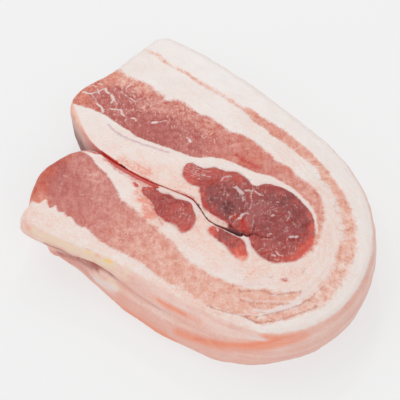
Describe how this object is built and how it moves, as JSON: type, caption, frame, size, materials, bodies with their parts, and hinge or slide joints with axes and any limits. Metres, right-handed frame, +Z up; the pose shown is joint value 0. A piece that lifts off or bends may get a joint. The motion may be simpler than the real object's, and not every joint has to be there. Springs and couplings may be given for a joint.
{
  "type": "pork belly slab",
  "caption": "Thick slice of raw pork belly with its rind, folded double into a U and lying on its cut face, arms pressed together along a slit.",
  "frame": {"origin": "under the middle of the slice's bounding box, on the flat cut face that it lies on", "axes": "+X along the folded arms towards the fold, +Y from the thin arm towards the thick arm, +Z up out of the cut face"},
  "size_m": [0.152, 0.1252, 0.0243],
  "materials": {
    "raw_pork": "moist raw meat: satin lean with white marbling, smooth white fat, pink rind"
  },
  "bodies": {
    "root": {"pork_belly": "raw_pork"}
  },
  "joints": []
}
